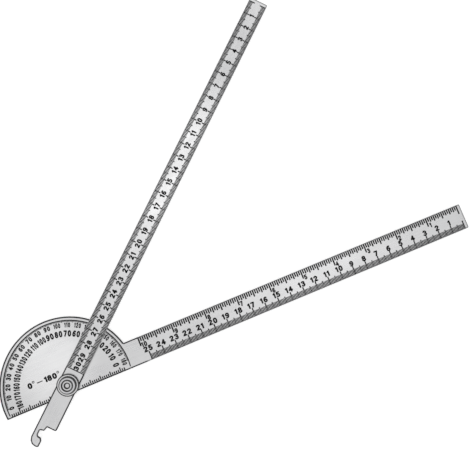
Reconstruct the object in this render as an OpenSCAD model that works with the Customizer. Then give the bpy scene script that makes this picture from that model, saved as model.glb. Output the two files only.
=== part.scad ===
// Goniometer for measuring joint angles: a half-circle degree plate with a long
// ruled arm in one sheet, and a second ruled arm with a hooked tail that turns
// over it on a shouldered stud. A knurled thumb nut sets the drag.
// Millimetres. The origin is on the pivot axis at the lowest face, which is the
// back of the stud's head. +X runs along the fixed arm, +Y towards the half
// circle, +Z up towards the nut.

/* [Degree plate and fixed arm] */
// Radius of the half-circle degree plate
plate_r = 48.0; // [42:0.5:56]
// Distance from the pivot axis to the straight base edge
base_drop = 6.5; // [6.2:0.1:9]
// Distance from the pivot axis to the upper edge of the fixed arm
arm_rise = 12.3; // [8:0.1:16]
// Distance from the pivot axis to the tip of each arm
reach = 314.0; // [150:1:330]
// Thickness of the steel sheet of both arms
sheet_t = 1.0; // [0.8:0.1:1.6]
// Corner radius at the arms' tips
tip_r = 0.8; // [0.3:0.1:2]

/* [Moving arm] */
// Width of the moving arm
arm_w = 14.1; // [13.6:0.1:18]
// Angle from the fixed arm to the moving arm as drawn
open_angle = 42.0; // [0:1:180]
// Distance from the pivot axis to the shoulder of the tail
tail_end = 32.2; // [28:0.1:40]
// Corner radius at the tail's shoulder
tail_r = 1.2; // [0.5:0.1:2]
// Length of the hook past the shoulder of the tail
hook_len = 15.2; // [14:0.1:18]
// Width of the finger that carries the hook
finger_w = 3.45; // [2.5:0.05:4]

/* [Pivot stud] */
// Radius of the stud's flat head at the back
head_r = 5.0; // [4.5:0.1:5.8]
// Thickness of the stud's flat head
head_t = 0.8; // [0.6:0.1:1.5]
// Radius of the plain shoulder that the moving arm turns on
shoulder_r = 3.2; // [3:0.1:4]
// Crest radius of the stud's thread
thread_r = 2.8; // [2.5:0.1:2.8]
// Pitch of the thread, which is the nut's travel per turn
thread_pitch = 0.8; // [0.7:0.1:1]
// Radius of the upset rim that keeps the nut on
rim_r = 3.2; // [3:0.05:3.4]
// Radius of the blind hole in the stud's end
hollow_r = 2.0; // [1.5:0.1:2]

/* [Washers] */
// Radius of the thin rear washer
rear_r = 6.0; // [5.8:0.1:6.2]
// Thickness of the thin rear washer
rear_t = 0.3; // [0.2:0.05:0.5]
// Radius of the nylon friction washer between the sheets
friction_r = 6.3; // [5.5:0.1:6.4]
// Thickness of the nylon friction washer
friction_t = 0.3; // [0.2:0.05:0.5]
// Outer radius of the wave spring washer
wave_r = 6.4; // [5.5:0.1:6.8]
// Inner radius of the wave spring washer
wave_bore_r = 3.4; // [3:0.1:4]
// Strip thickness of the wave spring washer
wave_t = 0.25; // [0.2:0.05:0.3]
// Height of the wave spring washer with the nut tight
wave_h = 0.58; // [0.45:0.01:0.8]
// Number of waves round the spring washer
waves = 3; // [2:1:4]
// Radius of the large front washer
front_r = 7.9; // [7:0.1:8.5]
// Thickness of the large front washer
front_t = 0.8; // [0.5:0.1:1.2]

/* [Thumb nut] */
// Radius over the knurling
nut_r = 6.1; // [5.8:0.1:7]
// Height of the low nut
nut_h = 2.4; // [2.2:0.1:4]
// Radius of the flat top face, inside the chamfer
nut_top_r = 5.3; // [5:0.1:5.4]
// Radius of the recess in the top
recess_r = 4.1; // [3.8:0.05:4.3]
// Depth of the recess in the top
recess_d = 0.9; // [0.8:0.05:1]
// Number of knurl grooves
grooves = 36; // [24:1:40]
// Depth of the knurl grooves
groove_d = 0.32; // [0.2:0.01:0.4]

/* [Hidden] */
// Clearance between turning and standing parts
gap = 0.02;
// Radial clearance of a running fit
fit = 0.05;
z_rear = head_t;
z_plate = z_rear + rear_t;
z_friction = z_plate + sheet_t;
z_arm = z_friction + friction_t + gap;
z_wave = z_arm + sheet_t + gap;
z_front = z_wave + wave_h + gap;
z_nut = z_front + front_t + gap;
z_top = z_nut + nut_h;
// The shoulder stops just below the arm's upper face, so the nut can clamp
shoulder_top = z_arm + sheet_t - 0.1;
// The rim stands one turn of the thread above the recess's floor
rim_z = z_top - recess_d + thread_pitch + gap;
rim_t = 0.35;
bore_r = thread_r + 0.06;
hw = arm_w / 2;
hook_u = -tail_end - hook_len;
finger_v = hw - finger_w;
$fn = 96;

// A disc with a true bore
module ring(r, hole_r, t) {
    difference() {
        cylinder(r = r, h = t);
        translate([0, 0, -1]) cylinder(r = hole_r, h = t + 2);
    }
}

// A straight strip from x0 to x1 with both corners at x1 rounded
module strip(x0, x1, y0, y1, t, r) {
    translate([x0, y0, 0]) cube([x1 - r - x0, y1 - y0, t]);
    translate([x0, y0 + r, 0]) cube([x1 - x0, y1 - y0 - 2 * r, t]);
    for (y = [y0 + r, y1 - r]) translate([x1 - r, y, 0]) cylinder(r = r, h = t);
}

// The degree plate and the fixed arm are one blanked sheet
module protractor_arm() {
    color([0.84, 0.85, 0.86])
    translate([0, 0, z_plate])
    difference() {
        union() {
            intersection() {
                cylinder(r = plate_r, h = sheet_t, $fn = 180);
                translate([-plate_r - 1, -base_drop, -1])
                    cube([2 * plate_r + 2, plate_r + base_drop + 1, sheet_t + 2]);
            }
            strip(0, reach, -base_drop, arm_rise, sheet_t, tip_r);
        }
        translate([0, 0, -1]) cylinder(r = shoulder_r, h = sheet_t + 2);
    }
}

// Outline of the moving arm: u along the arm, v across it. The tail carries a
// finger along the +v edge, which ends in a hooked foot that points to -v.
arm_outline = [
    [reach - tip_r, -hw], [reach, -hw + tip_r], [reach, hw - tip_r], [reach - tip_r, hw],
    [hook_u + 5.1, hw], [hook_u + 2.4, hw - 0.95], [hook_u + 0.6, hw - 2.85],
    [hook_u, hw - 5.2], [hook_u + 0.1, hw - 6.8], [hook_u + 0.8, hw - 7.7],
    [hook_u + 4.9, hw - 7.7], [hook_u + 6.8, hw - 6.5],
    [hook_u + 7.1, finger_v - 0.8], [hook_u + 8.0, finger_v],
    [-tail_end - 3.8, finger_v], [-tail_end - 3.0, hw - 6.4], [-tail_end, hw - 7.1],
    [-tail_end, -hw + tail_r], [-tail_end + tail_r, -hw]
];

module moving_arm() {
    color([0.84, 0.85, 0.86])
    translate([0, 0, z_arm]) rotate([0, 0, open_angle])
    difference() {
        union() {
            linear_extrude(sheet_t) polygon(arm_outline);
            for (s = [-1, 1])
                translate([reach - tip_r, s * (hw - tip_r), 0]) cylinder(r = tip_r, h = sheet_t);
            translate([-tail_end + tail_r, -hw + tail_r, 0]) cylinder(r = tail_r, h = sheet_t);
        }
        translate([0, 0, -1]) cylinder(r = shoulder_r + fit, h = sheet_t + 2);
    }
}

// Half section of the stud: head, shoulder, ringed thread and upset rim
thread_z0 = shoulder_top + 0.4;
thread_n = floor((rim_z - 0.2 - thread_z0) / thread_pitch);
stud_section = concat(
    [[0, 0], [head_r - 0.25, 0], [head_r, 0.25], [head_r, head_t], [shoulder_r, head_t],
     [shoulder_r, shoulder_top - 0.2], [shoulder_r - 0.2, shoulder_top],
     [thread_r - 0.4, shoulder_top], [thread_r - 0.4, thread_z0]],
    [for (i = [0 : thread_n - 1], k = [0 : 2])
        [k == 2 ? thread_r - 0.4 : thread_r, thread_z0 + thread_pitch * (i + [0.4, 0.55, 0.98][k])]],
    [[thread_r - 0.4, rim_z], [rim_r, rim_z], [rim_r, rim_z + rim_t - 0.12],
     [rim_r - 0.12, rim_z + rim_t], [0, rim_z + rim_t]]
);

module pivot_stud() {
    color([0.74, 0.75, 0.77])
    difference() {
        rotate_extrude() polygon(stud_section);
        // hollow end, from which the rim was rolled out
        translate([0, 0, rim_z + rim_t - 0.9]) cylinder(r = hollow_r, h = 2);
        translate([0, 0, rim_z + rim_t - 0.2]) cylinder(r1 = hollow_r, r2 = hollow_r + 0.3, h = 0.3);
    }
}

module rear_washer() {
    color([0.78, 0.79, 0.8]) translate([0, 0, z_rear]) ring(rear_r, shoulder_r + fit, rear_t);
}

module friction_washer() {
    color([0.93, 0.92, 0.88]) translate([0, 0, z_friction]) ring(friction_r, shoulder_r + fit, friction_t);
}

// The wave washer's strip is one closed loop of quads
wave_steps = 72;
function wave_z(i) = (wave_h - wave_t) / 2 * (1 - cos(waves * 360 * i / wave_steps));
wave_points = [for (i = [0 : wave_steps - 1], k = [0 : 3])
    let (a = 360 * i / wave_steps, r = k == 0 || k == 3 ? wave_bore_r : wave_r)
    [r * cos(a), r * sin(a), wave_z(i) + (k > 1 ? wave_t : 0)]];
wave_faces = [for (i = [0 : wave_steps - 1], k = [0 : 3])
    let (n = (i + 1) % wave_steps, j = (k + 1) % 4)
    [4 * i + k, 4 * i + j, 4 * n + j, 4 * n + k]];

module wave_washer() {
    color([0.55, 0.56, 0.58])
    translate([0, 0, z_wave]) polyhedron(points = wave_points, faces = wave_faces, convexity = 4);
}

module front_washer() {
    color([0.82, 0.83, 0.84])
    translate([0, 0, z_front]) difference() {
        rotate_extrude() polygon([[0, 0], [front_r, 0], [front_r, front_t - 0.2],
                                  [front_r - 0.2, front_t], [0, front_t]]);
        translate([0, 0, -1]) cylinder(r = bore_r, h = front_t + 2);
    }
}

// Half section of the nut: collar, knurled band, chamfer and top face
nut_section = [[0, 0], [nut_r - 0.7, 0], [nut_r - 0.7, 0.25], [nut_r - 0.2, 0.35], [nut_r, 0.5],
               [nut_r, nut_h - 0.6], [nut_top_r, nut_h], [0, nut_h]];

module thumb_nut() {
    color([0.72, 0.73, 0.75])
    translate([0, 0, z_nut]) difference() {
        rotate_extrude() polygon(nut_section);
        translate([0, 0, -1]) cylinder(r = bore_r, h = nut_h + 2);
        translate([0, 0, nut_h - recess_d]) cylinder(r = recess_r, h = recess_d + 1);
        for (i = [0 : grooves - 1]) rotate([0, 0, i * 360 / grooves])
            translate([nut_r - groove_d, 0, 0.25])
                linear_extrude(nut_h)
                    polygon([[0, 0], [groove_d + 0.3, groove_d + 0.3], [groove_d + 0.3, -groove_d - 0.3]]);
    }
}

protractor_arm();
pivot_stud();
rear_washer();
friction_washer();
moving_arm();
wave_washer();
front_washer();
thumb_nut();
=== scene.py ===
import bpy, bmesh, math
from mathutils import Matrix, Vector


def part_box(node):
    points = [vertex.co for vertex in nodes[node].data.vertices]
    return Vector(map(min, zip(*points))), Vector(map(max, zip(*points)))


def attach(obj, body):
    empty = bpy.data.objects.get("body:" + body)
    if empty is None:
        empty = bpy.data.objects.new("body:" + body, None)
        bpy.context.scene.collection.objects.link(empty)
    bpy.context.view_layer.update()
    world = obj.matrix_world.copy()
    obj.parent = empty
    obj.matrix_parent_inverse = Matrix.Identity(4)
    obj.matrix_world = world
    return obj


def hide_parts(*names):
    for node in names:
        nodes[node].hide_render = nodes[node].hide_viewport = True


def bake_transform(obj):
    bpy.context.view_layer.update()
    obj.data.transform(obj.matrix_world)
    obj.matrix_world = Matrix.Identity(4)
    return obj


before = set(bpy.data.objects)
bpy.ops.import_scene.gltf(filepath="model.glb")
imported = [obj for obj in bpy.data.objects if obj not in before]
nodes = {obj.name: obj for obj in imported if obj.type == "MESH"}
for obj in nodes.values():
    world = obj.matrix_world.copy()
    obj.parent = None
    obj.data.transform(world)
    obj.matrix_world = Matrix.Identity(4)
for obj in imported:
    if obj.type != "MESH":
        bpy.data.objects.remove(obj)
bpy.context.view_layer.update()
scene = bpy.context.scene
MM = 0.001

# ------------------------------------------------------------------ sizes from the frame
plate_lo, plate_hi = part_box("protractor_arm")
arm_lo, arm_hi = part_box("moving_arm")
wave_lo, wave_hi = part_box("wave_washer")
NUT_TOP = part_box("thumb_nut")[1].z      # top face of the nut, metres
FZ = plate_hi.z / MM                 # top face of the fixed sheet
MZ = arm_hi.z / MM                   # top face of the moving sheet
Y_LOW = plate_lo.y / MM              # base edge, -6.5
REACH = plate_hi.x / MM              # tip of the fixed arm, 314
R_PLATE = -plate_lo.x / MM           # 48
Y_HIGH = 12.3                        # upper edge of the fixed arm
HALF_W = 7.05                        # half width of the moving arm
OPEN = math.radians(42.0)            # where the moving arm stands
ZERO = REACH - 2.8                   # zero line of every ruler

# ------------------------------------------------------------------ node helpers
class Graph:
    def __init__(self, name):
        self.mat = bpy.data.materials.new(name)
        self.mat.use_nodes = True
        self.nt = self.mat.node_tree
        self.nt.nodes.clear()
        self.out = self.nt.nodes.new("ShaderNodeOutputMaterial")
        self.bsdf = self.nt.nodes.new("ShaderNodeBsdfPrincipled")
        self.link(self.bsdf, "BSDF", self.out, "Surface")
        self.coord = self.nt.nodes.new("ShaderNodeTexCoord")

    def link(self, a, ao, b, bi):
        self.nt.links.new(a.outputs[ao], b.inputs[bi])

    def mapping(self, scale, rot=(0, 0, 0), loc=(0, 0, 0), src=None):
        """Rotates first, then scales, so streaks follow the rotated axis."""
        r = self.nt.nodes.new("ShaderNodeMapping")
        r.vector_type = "POINT"
        r.inputs["Rotation"].default_value = rot
        r.inputs["Location"].default_value = loc
        if src is None:
            self.link(self.coord, "Object", r, "Vector")
        else:
            self.nt.links.new(src, r.inputs["Vector"])
        s = self.nt.nodes.new("ShaderNodeMapping")
        s.vector_type = "POINT"
        s.inputs["Scale"].default_value = scale
        self.link(r, "Vector", s, "Vector")
        return s.outputs["Vector"]

    def noise(self, vec, scale=1.0, detail=2.0, rough=0.5, distortion=0.0):
        n = self.nt.nodes.new("ShaderNodeTexNoise")
        n.inputs["Scale"].default_value = scale
        n.inputs["Detail"].default_value = detail
        n.inputs["Roughness"].default_value = rough
        n.inputs["Distortion"].default_value = distortion
        self.nt.links.new(vec, n.inputs["Vector"])
        return n.outputs["Fac"]

    def remap(self, v, a, b, c, d, smooth=False):
        m = self.nt.nodes.new("ShaderNodeMapRange")
        m.clamp = True
        if smooth:
            m.interpolation_type = "SMOOTHSTEP"
        m.inputs["From Min"].default_value = a
        m.inputs["From Max"].default_value = b
        m.inputs["To Min"].default_value = c
        m.inputs["To Max"].default_value = d
        self.nt.links.new(v, m.inputs["Value"])
        return m.outputs["Result"]

    def math(self, op, a, b=None, c=None, clamp=False):
        m = self.nt.nodes.new("ShaderNodeMath")
        m.operation = op
        m.use_clamp = clamp
        for i, v in enumerate((a, b, c)):
            if v is None:
                continue
            if isinstance(v, (int, float)):
                m.inputs[i].default_value = v
            else:
                self.nt.links.new(v, m.inputs[i])
        return m.outputs[0]

    def ramp(self, v, stops):
        r = self.nt.nodes.new("ShaderNodeValToRGB")
        el = r.color_ramp.elements
        el[0].position, el[0].color = stops[0][0], (*stops[0][1], 1)
        el[1].position, el[1].color = stops[-1][0], (*stops[-1][1], 1)
        for p, c in stops[1:-1]:
            e = el.new(p)
            e.color = (*c, 1)
        self.nt.links.new(v, r.inputs["Fac"])
        return r.outputs["Color"]

    def mix(self, fac, a, b, blend="MIX"):
        m = self.nt.nodes.new("ShaderNodeMix")
        m.data_type = "RGBA"
        m.blend_type = blend
        m.clamp_factor = True
        for sock, v in ((m.inputs[0], fac), (m.inputs[6], a), (m.inputs[7], b)):
            if isinstance(v, (int, float)):
                sock.default_value = v
            elif isinstance(v, tuple):
                sock.default_value = (*v, 1) if len(v) == 3 else v
            else:
                self.nt.links.new(v, sock)
        return m.outputs[2]

    def bump(self, h, strength, distance, normal=None):
        b = self.nt.nodes.new("ShaderNodeBump")
        b.inputs["Strength"].default_value = strength
        b.inputs["Distance"].default_value = distance
        self.nt.links.new(h, b.inputs["Height"])
        if normal is not None:
            self.nt.links.new(normal, b.inputs["Normal"])
        return b.outputs["Normal"]

    def rim(self, distance, lo, hi, inside=True, samples=16):
        """1 within reach of a piece's own outer edge (or, with inside False, deep in a corner), 0 elsewhere."""
        a = self.nt.nodes.new("ShaderNodeAmbientOcclusion")
        a.inside = inside
        a.only_local = True
        a.samples = samples
        a.inputs["Distance"].default_value = distance
        return self.remap(a.outputs["AO"], lo, hi, 1.0, 0.0, True)

    def radius(self):
        """Distance from the pivot axis, in metres."""
        s = self.nt.nodes.new("ShaderNodeSeparateXYZ")
        self.link(self.coord, "Object", s, "Vector")
        x2 = self.math("MULTIPLY", s.outputs["X"], s.outputs["X"])
        y2 = self.math("MULTIPLY", s.outputs["Y"], s.outputs["Y"])
        return self.math("SQRT", self.math("ADD", x2, y2)), s

    def set(self, socket, value):
        self.bsdf.inputs[socket].default_value = value

    def use(self, socket, v):
        self.nt.links.new(v, self.bsdf.inputs[socket])


def sheet_steel(name, tone, angle, seed, ruled, rough=(0.22, 0.34), painted_sheen=None):
    """Satin stainless sheet: grain along the arm, cloudy handling smears, a few scratches, painted shade along the
    edges and an optional painted highlight on the plate.
    """
    g = Graph(name)
    g.set("Metallic", 1.0)
    rot = (0, 0, -angle)
    off = (seed * 0.37, seed * 0.61, seed * 0.13)
    fine = g.noise(g.mapping((70, 7000, 7000), rot, off), detail=3.0, rough=0.6)
    broad = g.noise(g.mapping((9, 700, 700), rot, off), detail=3.0, rough=0.55)
    smear = g.noise(g.mapping((26, 44, 44), rot, off), detail=4.0, rough=0.6, distortion=0.7)
    cloud = g.noise(g.mapping((9, 16, 16), rot, off), detail=2.0)
    s1 = g.noise(g.mapping((22, 2600, 2600), (0, 0, -angle + 0.16), off), detail=0.0)
    s2 = g.noise(g.mapping((30, 3100, 3100), (0, 0, -angle - 0.42), off), detail=0.0)
    s3 = g.noise(g.mapping((26, 2300, 2300), (0, 0, -angle + 1.1), off), detail=0.0)
    scr = g.math("MAXIMUM", g.remap(s1, 0.74, 0.80, 0, 1),
                 g.math("MAXIMUM", g.remap(s2, 0.775, 0.83, 0, 1), g.remap(s3, 0.79, 0.84, 0, 1)))
    t = tone
    base = g.ramp(g.math("ADD", g.math("MULTIPLY", smear, 0.65), g.math("MULTIPLY", broad, 0.35)),
                  [(0.30, (t * 0.925, t * 0.925, t * 0.935)), (0.50, (t * 0.985, t * 0.985, t * 0.99)),
                   (0.70, (t * 1.03, t * 1.03, t * 1.03))])
    streak = g.remap(fine, 0.3, 0.7, 0.93, 1.05)
    base = g.mix(1.0, base, g.ramp(streak, [(0.9, (0.955,) * 3), (1.0, (1.0,) * 3)]), "MULTIPLY")
    base = g.mix(g.math("MULTIPLY", scr, 0.35), base, (t * 1.15, t * 1.15, t * 1.15))
    if painted_sheen:
        # painted highlight: a round patch of the degree plate's clear field is painted 1.31 times brighter, standing in
        # for a sheen of reflected light
        sub = g.nt.nodes.new("ShaderNodeVectorMath")
        sub.operation = "DISTANCE"
        g.nt.links.new(g.coord.outputs["Object"], sub.inputs[0])
        sub.inputs[1].default_value = (painted_sheen[0], painted_sheen[1], 0.002)
        near = g.remap(sub.outputs["Value"], 0.010, 0.040, 1.0, 0.0, True)
        sheen_base = g.mix(1.0, base, (1.31, 1.31, 1.305), "MULTIPLY")
        base = g.mix(near, base, sheen_base)
    # painted shade: the bevelled edge faces and a band within reach of the outer edge are painted near black, standing
    # in for the shade along the sheet's edges; they are also duller than the rolled faces
    nz = g.nt.nodes.new("ShaderNodeSeparateXYZ")
    g.link(g.coord, "Normal", nz, "Vector")
    edge = g.remap(g.math("ABSOLUTE", nz.outputs["Z"]), 0.90, 0.995, 1.0, 0.0, True)
    along = g.nt.nodes.new("ShaderNodeSeparateXYZ")
    g.nt.links.new(g.mapping((1, 1, 1), rot), along.inputs["Vector"])
    soft = g.remap(along.outputs["X"], ruled - 0.001, ruled + 0.001, 1.0, 0.55)
    edge = g.math("MAXIMUM", g.math("MULTIPLY", edge, soft), g.math("MULTIPLY", g.rim(0.00095, 0.935, 0.999), soft))
    # the same painted edge shade, a little wider, round the plate and the plain ends
    x, y = along.outputs["X"], along.outputs["Y"]
    plain_end = g.remap(x, ruled - 0.0008, ruled, 1.0, 0.0)
    if angle == 0.0:
        rad = g.radius()[0]
        open_arc = g.math("MAXIMUM", g.remap(x, 0.0, 0.0002, 1.0, 0.0), g.remap(y, 0.0120, 0.0122, 0.0, 1.0))
        wide = g.math("MULTIPLY", g.remap(rad, 0.04680, 0.04710, 0.0, 1.0, True), open_arc)
        sides = g.math("MAXIMUM", g.remap(y, -0.00580, -0.00550, 1.0, 0.0, True),
                       g.math("MULTIPLY", g.remap(y, 0.01130, 0.01160, 0.0, 1.0, True), g.remap(x, 0.0462, 0.0464, 0.0, 1.0)))
    else:
        wide = 0.0
        sides = g.remap(g.math("ABSOLUTE", y), 0.00605, 0.00635, 0.0, 1.0, True)
    wide = g.math("MAXIMUM", wide, g.math("MULTIPLY", sides, plain_end))
    edge = g.math("MAXIMUM", edge, g.math("MULTIPLY", wide, 0.92))
    # painted shade: near-black colour laid over the edge mask
    base = g.mix(edge, base, g.ramp(broad, [(0.3, (0.018, 0.018, 0.019)), (0.7, (0.05, 0.05, 0.052))]))
    g.use("Base Color", base)
    r = g.remap(smear, 0.32, 0.68, rough[0], rough[1], True)
    r = g.math("ADD", r, g.math("MULTIPLY", edge, 0.12))
    r = g.math("ADD", r, g.remap(fine, 0.3, 0.7, -0.04, 0.05))
    r = g.math("ADD", r, g.remap(cloud, 0.35, 0.65, -0.03, 0.04))
    g.use("Roughness", r)
    h = g.math("ADD", g.math("MULTIPLY", fine, 0.7), g.math("MULTIPLY", broad, 0.5))
    h = g.math("SUBTRACT", h, g.math("MULTIPLY", scr, 0.8))
    n = g.bump(h, 0.30, 0.000012)
    wave = g.noise(g.mapping((14, 22, 22), rot, off), detail=1.0)
    n = g.bump(wave, 0.25, 0.0002, n)
    g.use("Normal", n)
    return g.mat


def turned_steel(name, tone, rough=(0.2, 0.34), ring=5200.0, ring_h=0.00001, dark=0.9, seed=1.0, shade_rings=()):
    """Turned metal: fine concentric tool lines, tumbled dents and handling marks, and optional rings of painted shade.
    """
    g = Graph(name)
    g.set("Metallic", 1.0)
    rad, s = g.radius()
    comb = g.nt.nodes.new("ShaderNodeCombineXYZ")
    g.nt.links.new(rad, comb.inputs["X"])
    g.nt.links.new(s.outputs["Z"], comb.inputs["Y"])
    comb.inputs["Z"].default_value = seed
    lines = g.noise(g.mapping((ring, ring, 1.0), src=comb.outputs["Vector"]), detail=2.0, rough=0.7)
    wide = g.noise(g.mapping((ring * 0.16, ring * 0.16, 1.0), src=comb.outputs["Vector"]), detail=1.0)
    smear = g.noise(g.mapping((260, 260, 260), loc=(seed, 0, 0)), detail=4.0, rough=0.6, distortion=0.5)
    nick = g.remap(g.noise(g.mapping((1500, 1500, 1500), loc=(0, seed, 0)), detail=1.0), 0.70, 0.80, 0, 1)
    t = tone
    base = g.ramp(g.math("ADD", g.math("MULTIPLY", smear, 0.5), g.math("MULTIPLY", wide, 0.5)),
                  [(0.34, (t * dark, t * dark, t * (dark + 0.01))), (0.52, (t, t, t)), (0.72, (t * 1.06, t * 1.06, t * 1.05))])
    for a, b, c, d in shade_rings:
        # painted shade: near black held between the radii b and c, fading out to a and d
        m = g.math("MULTIPLY", g.remap(rad, a * MM, b * MM, 0, 1, True), g.remap(rad, c * MM, d * MM, 1, 0, True))
        m = g.math("MULTIPLY", m, g.remap(s.outputs["Z"], 0.0016, 0.0030, 0, 1, True))
        base = g.mix(g.math("MULTIPLY", m, g.remap(smear, 0.3, 0.7, 0.98, 0.90)), base, (0.03, 0.03, 0.03))
    g.use("Base Color", base)
    r = g.remap(smear, 0.3, 0.7, rough[0], rough[1], True)
    r = g.math("ADD", r, g.remap(lines, 0.3, 0.7, -0.03, 0.05))
    g.use("Roughness", r)
    h = g.math("SUBTRACT", g.math("ADD", lines, g.math("MULTIPLY", wide, 0.6)), g.math("MULTIPLY", nick, 0.8))
    g.use("Normal", g.bump(h, 0.35, ring_h))
    return g.mat


def nickel(name):
    """Bright nickel plate over a knurled brass nut: glossy, slightly orange-peeled, dull and painted dark with shade in
    the grooves, on the chamfer and in the corner of the recess.
    """
    g = Graph(name)
    g.set("Metallic", 1.0)
    rad, s = g.radius()
    comb = g.nt.nodes.new("ShaderNodeCombineXYZ")
    g.nt.links.new(rad, comb.inputs["X"])
    g.nt.links.new(s.outputs["Z"], comb.inputs["Y"])
    lines = g.noise(g.mapping((6500, 6500, 1.0), src=comb.outputs["Vector"]), detail=2.0, rough=0.65)
    peel = g.noise(g.mapping((1600, 1600, 1600)), detail=2.0)
    smear = g.noise(g.mapping((330, 330, 330)), detail=4.0, rough=0.6, distortion=0.4)
    # painted shade: the groove floors stand nearer the axis than the crests and are painted near black where shade
    # falls
    groove = g.math("MULTIPLY", g.remap(rad, 0.00578, 0.00602, 1, 0, True), g.remap(rad, 0.00530, 0.00545, 0, 1, True))
    side = g.remap(s.outputs["Z"], NUT_TOP - 0.00045, NUT_TOP - 0.00065, 0, 1, True)
    groove = g.math("MULTIPLY", groove, side)
    # painted shade: the chamfer and the corner of the recess are dull and painted dark
    worn = g.math("MAXIMUM", g.remap(rad, 0.00528, 0.00550, 0, 0.95, True),
                  g.math("MULTIPLY", g.remap(rad, 0.00438, 0.00424, 0, 1, True), g.remap(rad, 0.00325, 0.00350, 0, 1, True)))
    groove = g.math("MAXIMUM", groove, worn)
    base = g.ramp(smear, [(0.32, (0.56, 0.56, 0.575)), (0.5, (0.64, 0.64, 0.65)), (0.7, (0.70, 0.70, 0.705))])
    # painted shade: near-black colour over the groove, chamfer and recess mask
    base = g.mix(g.math("MULTIPLY", groove, 0.94), base, (0.045, 0.044, 0.043))
    g.use("Base Color", base)
    r = g.remap(smear, 0.3, 0.7, 0.13, 0.24, True)
    r = g.math("ADD", r, g.math("MULTIPLY", groove, 0.22))
    g.use("Roughness", r)
    h = g.math("ADD", g.math("MULTIPLY", lines, 0.7), g.math("MULTIPLY", peel, 0.8))
    g.use("Normal", g.bump(h, 0.30, 0.00001))
    return g.mat


def spring_metal(name):
    """Blued spring strip with straw and blue temper shades."""
    g = Graph(name)
    g.set("Metallic", 1.0)
    smear = g.noise(g.mapping((420, 420, 420)), detail=3.0, rough=0.6)
    fine = g.noise(g.mapping((5200, 5200, 5200)), detail=2.0)
    base = g.ramp(smear, [(0.3, (0.30, 0.31, 0.35)), (0.5, (0.42, 0.42, 0.44)), (0.7, (0.52, 0.49, 0.44))])
    g.use("Base Color", base)
    g.use("Roughness", g.remap(fine, 0.3, 0.7, 0.24, 0.38))
    g.use("Normal", g.bump(fine, 0.25, 0.000008))
    return g.mat


def nylon_sheet(name):
    """Natural nylon: translucent cream, faint saw marks."""
    g = Graph(name)
    fine = g.noise(g.mapping((900, 3200, 3200)), detail=3.0)
    cloud = g.noise(g.mapping((300, 300, 300)), detail=3.0)
    g.use("Base Color", g.ramp(cloud, [(0.3, (0.80, 0.78, 0.71)), (0.7, (0.92, 0.91, 0.86))]))
    g.use("Roughness", g.remap(fine, 0.3, 0.7, 0.42, 0.60))
    g.set("Subsurface Weight", 0.25)
    g.set("Subsurface Radius", (0.0012, 0.0011, 0.0009))
    g.set("Subsurface Scale", 1.0)
    g.use("Normal", g.bump(fine, 0.3, 0.00002))
    return g.mat


def black_fill(name):
    """Black enamel in the etched marks: near black, worn a little thin in places."""
    g = Graph(name)
    worn = g.noise(g.mapping((150, 150, 150)), detail=4.0, rough=0.65)
    grit = g.noise(g.mapping((4200, 4200, 4200)), detail=2.0)
    g.use("Base Color", g.ramp(worn, [(0.30, (0.004, 0.004, 0.0045)), (0.62, (0.009, 0.009, 0.0095)), (0.80, (0.035, 0.035, 0.036))]))
    g.use("Roughness", g.remap(grit, 0.3, 0.7, 0.42, 0.68))
    g.set("Specular IOR Level", 0.12)
    g.use("Normal", g.bump(grit, 0.35, 0.000012))
    return g.mat


MAT = {
    # satin_steel carries a painted highlight on the clear field of the degree plate
    "satin_steel": sheet_steel("satin_steel", 0.685, 0.0, 1.0, 0.058, painted_sheen=(-0.006, 0.021)),
    "arm_steel": sheet_steel("arm_steel", 0.69, OPEN, 2.0, 0.0115),
    # painted shade rings: in the stud's hollow end, and on the washers at the outer rim and next to the nut
    "turned_steel": turned_steel("turned_steel", 0.66, seed=3.0, shade_rings=((1.20, 1.45, 2.20, 2.45),)),
    "washer_steel": turned_steel("washer_steel", 0.72, (0.24, 0.38), 4200.0, seed=5.0, shade_rings=((7.00, 7.25, 8.5, 8.6), (5.5, 5.6, 6.20, 6.60))),
    "spring_steel": spring_metal("spring_steel"),
    "nut_plate": nickel("nut_plate"),
    "nylon": nylon_sheet("nylon"),
    "black_fill": black_fill("black_fill"),
}
SLOT_OF = {"protractor_arm": "satin_steel", "moving_arm": "arm_steel", "pivot_stud": "turned_steel",
           "rear_washer": "washer_steel", "front_washer": "washer_steel", "friction_washer": "nylon",
           "wave_washer": "spring_steel", "thumb_nut": "nut_plate"}


def finish_node(name, bevel, segments=2, limit=32):
    """Own material, welded corners and a small worn edge on a CAD node."""
    o = nodes[name]
    o.data.materials.clear()
    o.data.materials.append(MAT[SLOT_OF[name]])
    for p in o.data.polygons:
        p.material_index = 0
    w = o.modifiers.new("weld", "WELD")
    w.merge_threshold = 0.000002
    b = o.modifiers.new("edge", "BEVEL")
    b.width = bevel * MM
    b.segments = segments
    b.limit_method = "ANGLE"
    b.angle_limit = math.radians(limit)
    b.harden_normals = True
    b.miter_outer = "MITER_ARC"
    return o


finish_node("protractor_arm", 0.30, 3)
finish_node("moving_arm", 0.30, 3)
finish_node("pivot_stud", 0.05, 2)
finish_node("rear_washer", 0.05, 2)
finish_node("friction_washer", 0.05, 2)
finish_node("front_washer", 0.08, 2)
finish_node("thumb_nut", 0.05, 2)

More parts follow.
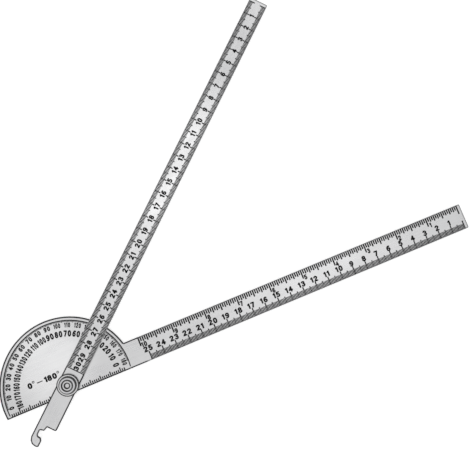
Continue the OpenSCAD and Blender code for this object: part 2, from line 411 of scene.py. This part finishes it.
# ------------------------------------------------------------------ closed meshes
class Shell:
    """Collects closed prisms in millimetres, in the row frame or turned with the moving arm."""

    def __init__(self, z0, z1, turn=0.0):
        self.v, self.f, self.z0, self.z1 = [], [], z0, z1
        self.c, self.s = math.cos(turn), math.sin(turn)

    def _put(self, x, y, z):
        self.v.append(((self.c * x - self.s * y) * MM, (self.s * x + self.c * y) * MM, z * MM))

    def prism(self, pts):
        """pts run anticlockwise seen from +Z."""
        n, b = len(pts), len(self.v)
        for x, y in pts:
            self._put(x, y, self.z0)
        for x, y in pts:
            self._put(x, y, self.z1)
        self.f.append([b + n + i for i in range(n)])
        self.f.append([b + n - 1 - i for i in range(n)])
        for i in range(n):
            j = (i + 1) % n
            self.f.append([b + i, b + j, b + n + j, b + n + i])

    def box(self, x0, x1, y0, y1, r=0.0):
        x0, x1, y0, y1 = min(x0, x1), max(x0, x1), min(y0, y1), max(y0, y1)
        self.prism([(x0, y0), (x1, y0), (x1, y1), (x0, y1)])

    def tick(self, x, y0, y1, w):
        """An etched line: its inner end is slightly rounded."""
        h = w / 2
        d = 1 if y1 > y0 else -1
        e = 0.45 * h
        pts = [(x - h, y0), (x + h, y0), (x + h, y1 - d * e), (x + h - e, y1), (x - h + e, y1), (x - h, y1 - d * e)]
        self.prism(pts if d > 0 else pts[::-1])

    def radial(self, a, r0, r1, w):
        """A radial line at angle a in degrees from r0 out to r1."""
        ca, sa, h = math.cos(math.radians(a)), math.sin(math.radians(a)), w / 2
        pts = [(r0, h), (r0, -h), (r1, -h), (r1, h)]
        self.prism([(ca * u - sa * v, sa * u + ca * v) for u, v in pts])

    def arc(self, a0, a1, r0, r1, step=2.0):
        n = max(2, int(round((a1 - a0) / step)))
        b = len(self.v)
        for i in range(n + 1):
            t = math.radians(a0 + (a1 - a0) * i / n)
            for r, z in ((r0, self.z0), (r1, self.z0), (r1, self.z1), (r0, self.z1)):
                self._put(r * math.cos(t), r * math.sin(t), z)
        for i in range(n):
            p, q = b + 4 * i, b + 4 * (i + 1)
            for k in range(4):
                m = (k + 1) % 4
                self.f.append([p + k, p + m, q + m, q + k])
        self.f.append([b + 3, b + 2, b + 1, b])
        e = b + 4 * n
        self.f.append([e, e + 1, e + 2, e + 3])

    def circle(self, cx, cy, r0, r1, n=20):
        b = len(self.v)
        for i in range(n):
            t = 2 * math.pi * i / n
            for r, z in ((r0, self.z0), (r1, self.z0), (r1, self.z1), (r0, self.z1)):
                self._put(cx + r * math.cos(t), cy + r * math.sin(t), z)
        for i in range(n):
            p, q = b + 4 * i, b + 4 * ((i + 1) % n)
            for k in range(4):
                m = (k + 1) % 4
                self.f.append([p + k, p + m, q + m, q + k])

    def glyph(self, ch, cx, cy, h, wx=1.0, turn=0.0):
        """One character, centred on cx, cy, h tall, its width scaled by wx, turned by turn radians."""
        vs, fs = GLYPH[ch][:2]
        ct, st, b = math.cos(turn), math.sin(turn), len(self.v)
        for x, y, up in vs:
            x, y = x * h * wx, y * h
            self._put(cx + ct * x - st * y, cy + st * x + ct * y, self.z1 if up else self.z0)
        self.f += [[b + i for i in f] for f in fs]

    def text(self, word, cx, cy, h, wx=1.0, turn=0.0, pitch=None):
        ws = [GLYPH[ch][2] * h * wx for ch in word]
        gap = 0.13 * h * wx
        total = sum(ws) + gap * (len(ws) - 1)
        x = -total / 2
        for ch, w in zip(word, ws):
            u = x + w / 2
            self.glyph(ch, cx + math.cos(turn) * u, cy + math.sin(turn) * u, h, wx, turn)
            x += w + gap
        return total

    def make(self, name, body, slot="black_fill"):
        me = bpy.data.meshes.new(name)
        me.from_pydata(self.v, [], self.f)
        me.validate()
        bm = bmesh.new()
        bm.from_mesh(me)
        bmesh.ops.recalc_face_normals(bm, faces=bm.faces)
        open_edges = [e for e in bm.edges if len(e.link_faces) != 2]
        if open_edges:
            raise RuntimeError(name + " isn't closed: " + str(len(open_edges)))
        bm.to_mesh(me)
        bm.free()
        me.materials.append(MAT[slot])
        o = bpy.data.objects.new(name, me)
        scene.collection.objects.link(o)
        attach(o, body)
        return o


def arc_pts(cx, cy, rx, ry, a0, a1, n=14, power=1.0):
    """Points on an ellipse from a0 to a1 degrees; a power under 1 squares it up a little."""
    out = []
    for i in range(n + 1):
        t = math.radians(a0 + (a1 - a0) * i / n)
        c, s_ = math.cos(t), math.sin(t)
        out.append((cx + rx * math.copysign(abs(c) ** power, c), cy + ry * math.copysign(abs(s_) ** power, s_)))
    return out


# centre lines of engraved digits, one unit tall with the stroke's width added
DIGIT_LINES = {
    "0": [arc_pts(0, 0, 0.20, 0.39, 0, 360, 28, 0.82)],
    "1": [[(0.05, -0.39), (0.05, 0.39), (-0.11, 0.25)]],
    "2": [arc_pts(0, 0.195, 0.20, 0.195, 165, -25, 12) + [(-0.20, -0.39), (0.21, -0.39)]],
    "3": [arc_pts(-0.01, 0.205, 0.19, 0.185, 150, -90, 14), arc_pts(-0.01, -0.185, 0.21, 0.205, 90, -150, 14)],
    "4": [[(0.09, -0.39), (0.09, 0.39), (-0.22, -0.15), (0.24, -0.15)]],
    "5": [[(0.18, 0.39), (-0.14, 0.39), (-0.17, 0.05)] + arc_pts(-0.005, -0.155, 0.21, 0.235, 125, -145, 14)],
    "6": [arc_pts(0, -0.17, 0.20, 0.22, 0, 360, 20), arc_pts(0.06, -0.10, 0.26, 0.49, 180, 62, 10)],
    "7": [[(-0.20, 0.39), (0.20, 0.39), (-0.06, -0.39)]],
    "8": [arc_pts(0, 0.20, 0.18, 0.19, 0, 360, 20), arc_pts(0, -0.19, 0.205, 0.20, 0, 360, 20)],
}
DIGIT_LINES["9"] = [[(-x, -y) for x, y in line] for line in DIGIT_LINES["6"]]


def outline(lines, w, step=0.02):
    """Closed loops round every point within w/2 of the lines: inside on the left, so holes run clockwise."""
    segs = [(p, q) for line in lines for p, q in zip(line, line[1:])]

    def inside(x, y):
        best = 9.0
        for (ax, ay), (bx, by) in segs:
            dx, dy = bx - ax, by - ay
            l2 = dx * dx + dy * dy
            u = 0.0 if l2 == 0 else max(0.0, min(1.0, ((x - ax) * dx + (y - ay) * dy) / l2))
            d = (x - ax - u * dx) ** 2 + (y - ay - u * dy) ** 2
            best = d if d < best else best
        return w / 2 - math.sqrt(best)

    nx, ny = int(0.92 / step), int(1.16 / step)
    x0, y0 = -0.4573, -0.5771
    g = [[inside(x0 + i * step, y0 + j * step) for j in range(ny + 1)] for i in range(nx + 1)]

    def cut(i, j, k, m):
        a_, b_ = g[i][j], g[k][m]
        u = a_ / (a_ - b_)
        return (x0 + (i + (k - i) * u) * step, y0 + (j + (m - j) * u) * step)

    nxt, pos = {}, {}
    for i in range(nx):
        for j in range(ny):
            c = [(i, j), (i + 1, j), (i + 1, j + 1), (i, j + 1)]
            sg = [g[a_][b_] > 0 for a_, b_ in c]
            if all(sg) or not any(sg):
                continue
            enter, leave = [], []
            for k in range(4):
                m = (k + 1) % 4
                if sg[k] != sg[m]:
                    key = tuple(sorted((c[k], c[m])))
                    pos[key] = cut(*c[k], *c[m])
                    (leave if sg[k] else enter).append((k, key))
            if len(enter) == 1:
                nxt[leave[0][1]] = enter[0][1]
            else:
                mid = sum(g[a_][b_] for a_, b_ in c) > 0
                for k, key in leave:
                    want = (k + 1) % 4 if not mid else (k - 1) % 4
                    for k2, key2 in enter:
                        if k2 == want:
                            nxt[key] = key2
    loops, left = [], set(nxt)
    while left:
        start = key = min(left)
        loop = []
        while key in left:
            left.discard(key)
            loop.append(pos[key])
            key = nxt[key]
        if key == start and len(loop) > 6:
            loops.append(loop)
    return loops


def thin(loop, tol):
    """Drops points that lie within tol of the line between their neighbours kept."""
    def far(a_, b_, pts):
        (ax, ay), (bx, by) = a_, b_
        l = math.hypot(bx - ax, by - ay) or 1e-9
        best, at = 0.0, None
        for k, (x, y) in enumerate(pts):
            d = abs((bx - ax) * (ay - y) - (ax - x) * (by - ay)) / l
            if d > best:
                best, at = d, k
        return best, at

    def split(pts):
        if len(pts) < 3:
            return pts
        d, k = far(pts[0], pts[-1], pts[1:-1])
        if d < tol:
            return [pts[0], pts[-1]]
        return split(pts[:k + 2])[:-1] + split(pts[k + 1:])

    h_ = len(loop) // 2
    return split(loop[:h_ + 1])[:-1] + split(loop[h_:] + loop[:1])[:-1]


def make_glyphs(bold):
    """Engraved digits as closed meshes one unit tall: (points, faces, width)."""
    from mathutils.geometry import tessellate_polygon
    out = {}
    for ch, lines in DIGIT_LINES.items():
        loops = [thin(l, 0.0035) for l in outline(lines, bold)]
        if sum(x * y2 - x2 * y for l in loops for (x, y), (x2, y2) in zip(l, l[1:] + l[:1])) < 0:
            loops = [l[::-1] for l in loops]
        flat = [p for l in loops for p in l]
        n = len(flat)
        tris = tessellate_polygon([[Vector((x, y, 0)) for x, y in l] for l in loops])
        pts = [(x, y, False) for x, y in flat] + [(x, y, True) for x, y in flat]
        faces = []
        for t_ in tris:
            (ax, ay), (bx, by), (cx, cy) = (flat[i] for i in t_)
            if (bx - ax) * (cy - ay) - (cx - ax) * (by - ay) < 0:
                t_ = t_[::-1]
            faces.append([i + n for i in t_])
            faces.append([i for i in t_[::-1]])
        k = 0
        for l in loops:
            m = len(l)
            for i in range(m):
                j = (i + 1) % m
                faces.append([k + i, k + j, k + j + n, k + i + n])
            k += m
        xs = [p[0] for p in pts]
        mid = (min(xs) + max(xs)) / 2
        out[ch] = ([(x - mid, y, up) for x, y, up in pts], faces, max(xs) - min(xs))
    return out


GLYPH = make_glyphs(0.27)
INK = 0.025        # how far the fill stands proud of the sheet
SINK = 0.03        # how far it goes into the etched line
EDGE = 0.34        # how far the lines stop short of the sheet's worn edge

# ------------------------------------------------------------------ degree scale
def F():
    return Shell(FZ - SINK, FZ + INK)


def M():
    return Shell(MZ - SINK, MZ + INK, OPEN)


ring = F()
ring.arc(-6.2, 186.2, 44.90, 45.65, 1.0)
ring.make("degree_border", "fixed_side")
ticks = F()
for a in range(0, 181):
    if a % 10 == 0:
        ticks.radial(a, 43.80, 44.88, 0.58)
    elif a % 5 == 0:
        ticks.radial(a, 43.80, 44.88, 0.54)
    else:
        ticks.radial(a, 44.15, 44.88, 0.48)
ticks.make("degree_ticks", "fixed_side")
outer, inner = F(), F()
for a in range(0, 181, 10):
    t = math.radians(a)
    for sh, r, h, n, wx in ((outer, 42.0, 3.4, 180 - a, 0.92), (inner, 36.0, 4.35, a, 0.84)):
        word = str(n)
        if len(word) == 3:
            wx *= 0.76
        sh.text(word, r * math.cos(t), r * math.sin(t), h, wx, t - math.pi / 2)
outer.make("degree_numerals_outer", "fixed_side")
inner.make("degree_numerals_inner", "fixed_side")

# ------------------------------------------------------------------ fixed arm, inch scale on the upper edge
inch = F()
n16 = int((ZERO - 57.0) / 25.4 * 16 + 1e-6)
for i in range(0, n16 + 1):
    x = ZERO - i * 25.4 / 16
    end = 5.4 if i % 16 == 0 else 7.0 if i % 8 == 0 else 7.7 if i % 4 == 0 else 8.2 if i % 2 == 0 else 8.8
    inch.tick(x, Y_HIGH - EDGE, end, 1.08 if i % 4 == 0 else 1.04)
inch.make("inch_ticks", "fixed_side")
inch_no = F()
for n in range(1, 11):
    word = str(n)
    inch_no.text(word, ZERO - 25.4 * n + (1.9 if len(word) == 1 else 2.6), 6.0, 3.6, 0.95)
inch_no.make("inch_numerals", "fixed_side")

# ------------------------------------------------------------------ fixed arm, centimetre numerals and millimetre ticks
cm = F()
for n in range(1, 26):
    cm.text(str(n), ZERO - 10 * n, 2.1, 4.0, 1.13)
cm.make("fixed_cm_numerals", "fixed_side")
mm = F()
for i in range(0, 251):
    x = ZERO - i
    end = 0.1 if i % 10 == 0 else -1.3 if i % 5 == 0 else -2.15
    mm.tick(x, Y_LOW + EDGE, end, 0.90 if i % 10 == 0 else 0.80 if i % 5 == 0 else 0.69)
mm.make("fixed_mm_ticks", "fixed_side")

# ------------------------------------------------------------------ moving arm, millimetres on both edges
for side, name in ((1, "left"), (-1, "right")):
    sh = M()
    for i in range(0, 300):
        x = ZERO - i
        end = 2.1 if i % 10 == 0 else 3.0 if i % 5 == 0 else 3.6
        sh.tick(x, side * (HALF_W - EDGE), side * end, 0.88 if i % 10 == 0 else 0.78 if i % 5 == 0 else 0.66)
    sh.make("moving_mm_ticks_" + name, "swinging_arm")
cm = M()
for n in range(1, 30):
    cm.text(str(n), ZERO - 10 * n, 0.0, 3.8, 1.10)
cm.text("30", ZERO - 300 + 3.3, 0.0, 3.8, 1.10)
cm.make("moving_cm_numerals", "swinging_arm")
line = M()
line.box(ZERO - 300 - 0.35, ZERO - 300 + 0.35, -HALF_W + EDGE, HALF_W - EDGE)
line.make("moving_cross_line", "swinging_arm")

# ------------------------------------------------------------------ generic range mark, and a small scale along the base
word = F()
word.glyph("0", -25.0, 9.5, 4.0, 1.2)
word.circle(-22.0, 11.1, 0.42, 0.90)
word.box(-19.8, -15.6, 9.15, 9.85)
for ch, x in (("1", -13.3), ("8", -10.4), ("0", -6.7)):
    word.glyph(ch, x, 9.5, 4.0, 1.2)
word.circle(-3.7, 11.1, 0.42, 0.90)
word.make("range_mark", "fixed_side")

base = F()
for i in range(-29, 28):
    x = i * 1.5
    if -15.0 < x < 9.0:
        continue
    end = Y_LOW + (3.9 if i % 5 == 0 else 2.7)
    base.tick(x, Y_LOW + EDGE, end, 0.85)
base.make("base_ticks", "fixed_side")

# ------------------------------------------------------------------ wave spring washer
def wave_ring(r_in, r_out, t, z0, z1, waves, steps=180):
    """A wavy spring ring with rounded strip edges, z0 and z1 its lowest and highest points, mm."""
    prof = []
    e = t * 0.5
    for r, sgn in ((r_in, -1), (r_out, 1)):
        c = r - sgn * e * 0.8
        rng = range(6) if sgn < 0 else range(6)
        for k in rng:
            a = math.radians(90 + 36 * k) if sgn < 0 else math.radians(-90 + 36 * k)
            prof.append((c + e * 0.8 * math.cos(a), e * math.sin(a)))
    v, f, n = [], [], len(prof)
    for i in range(steps):
        th = 2 * math.pi * i / steps
        z = z0 + t / 2 + (z1 - z0 - t) / 2 * (1 - math.cos(waves * th))
        for r, dz in prof:
            v.append((r * math.cos(th) * MM, r * math.sin(th) * MM, (z + dz) * MM))
    for i in range(steps):
        j = (i + 1) % steps
        for k in range(n):
            m = (k + 1) % n
            f.append([i * n + k, i * n + m, j * n + m, j * n + k])
    return v, f


WZ0, WZ1 = wave_lo.z / MM, wave_hi.z / MM
v, f = wave_ring(3.4, 6.4, 0.25, WZ0, WZ1, 3)
me = bpy.data.meshes.new("wave_spring")
me.from_pydata(v, [], f)
bm = bmesh.new()
bm.from_mesh(me)
bmesh.ops.recalc_face_normals(bm, faces=bm.faces)
bm.to_mesh(me)
bm.free()
for p in me.polygons:
    p.use_smooth = True
me.materials.append(MAT["spring_steel"])
spring = bpy.data.objects.new("wave_spring", me)
scene.collection.objects.link(spring)
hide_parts("wave_washer")
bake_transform(spring)

# ------------------------------------------------------------------ floor
me = bpy.data.meshes.new("floor")
s = 3.0
me.from_pydata([(-s, -s, 0), (s, -s, 0), (s, s, 0), (-s, s, 0)], [], [[0, 1, 2, 3]])
floor = bpy.data.objects.new("floor", me)
scene.collection.objects.link(floor)
g = Graph("floor_paper")
paper = g.noise(g.mapping((240, 240, 240)), detail=3.0)
g.use("Base Color", g.ramp(paper, [(0.3, (0.74, 0.74, 0.74)), (0.7, (0.78, 0.78, 0.78))]))
g.set("Roughness", 0.9)
g.set("Specular IOR Level", 0.1)
g.set("Emission Color", (1.0, 1.0, 1.0, 1.0))
g.set("Emission Strength", 0.52)
me.materials.append(g.mat)

# ------------------------------------------------------------------ light
world = bpy.data.worlds.new("studio")
scene.world = world
world.use_nodes = True
wt = world.node_tree
wt.nodes.clear()
wo = wt.nodes.new("ShaderNodeOutputWorld")
bg = wt.nodes.new("ShaderNodeBackground")
tc = wt.nodes.new("ShaderNodeTexCoord")
sp = wt.nodes.new("ShaderNodeSeparateXYZ")
cr = wt.nodes.new("ShaderNodeValToRGB")
wt.links.new(tc.outputs["Generated"], sp.inputs["Vector"])
wt.links.new(sp.outputs["Z"], cr.inputs["Fac"])
wt.links.new(cr.outputs["Color"], bg.inputs["Color"])
wt.links.new(bg.outputs["Background"], wo.inputs["Surface"])
el = cr.color_ramp.elements
el[0].position, el[0].color = 0.0, (0.98, 0.98, 0.985, 1)
el[1].position, el[1].color = 0.93, (0.86, 0.86, 0.865, 1)
for p_, c_ in ((0.10, 0.84), (0.36, 0.58), (0.62, 0.44), (0.80, 0.60), (0.88, 0.82)):
    e = el.new(p_)
    e.color = (c_, c_, c_ * 1.01, 1)
bg.inputs["Strength"].default_value = 1.0


def softbox(name, loc, target, size, power, tint=(1, 1, 1)):
    li = bpy.data.lights.new(name, "AREA")
    li.shape = "DISK"
    li.size = size
    li.energy = power
    li.color = tint
    o = bpy.data.objects.new(name, li)
    scene.collection.objects.link(o)
    o.location = loc
    o.rotation_euler = (Vector(target) - Vector(loc)).to_track_quat("-Z", "Y").to_euler()
    return o


softbox("key", (0.275, 0.13, 1.25), (0.15, 0.05, 0), 0.42, 0.04)
softbox("key_low", (0.4275, -0.038, 1.25), (0.20, 0.01, 0), 0.40, 0.17)
softbox("key_high", (0.157, 0.305, 1.25), (0.12, 0.11, 0), 0.40, 0.32)
for i, az in enumerate((40, 130, 220, 310)):
    a_ = math.radians(az)
    softbox("side_%d" % i, (0.13 + 1.05 * math.cos(a_), 0.07 + 1.05 * math.sin(a_), 1.05), (0.13, 0.07, 0), 0.8, 1.2)

# ------------------------------------------------------------------ camera
rx, ry, rz = 0.085255, -0.057754, 0.389279
t = Vector((-117.706176, -113.2327, 486.81496)) * MM
S = Matrix(((1, 0, 0), (0, 1, 0), (0, 0, -1)))
Rx = Matrix(((1, 0, 0), (0, math.cos(rx), -math.sin(rx)), (0, math.sin(rx), math.cos(rx))))
Ry = Matrix(((math.cos(ry), 0, math.sin(ry)), (0, 1, 0), (-math.sin(ry), 0, math.cos(ry))))
Rz = Matrix(((math.cos(rz), -math.sin(rz), 0), (math.sin(rz), math.cos(rz), 0), (0, 0, 1)))
Rb = S @ (Rx @ Ry @ Rz) @ S
tb = S @ t
cam = bpy.data.cameras.new("camera")
cam.sensor_fit = "HORIZONTAL"
cam.sensor_width = 36.0
cam.lens = 685.0 * 36.0 / 469.0
cam.clip_start = 0.01
cam.clip_end = 20.0
co = bpy.data.objects.new("camera", cam)
scene.collection.objects.link(co)
co.matrix_world = Matrix.Translation(-(Rb.transposed() @ tb)) @ Rb.transposed().to_4x4()
scene.camera = co

scene.view_settings.view_transform = "Standard"
scene.view_settings.look = "None"
scene.view_settings.exposure = 0.0

bpy.context.view_layer.update()
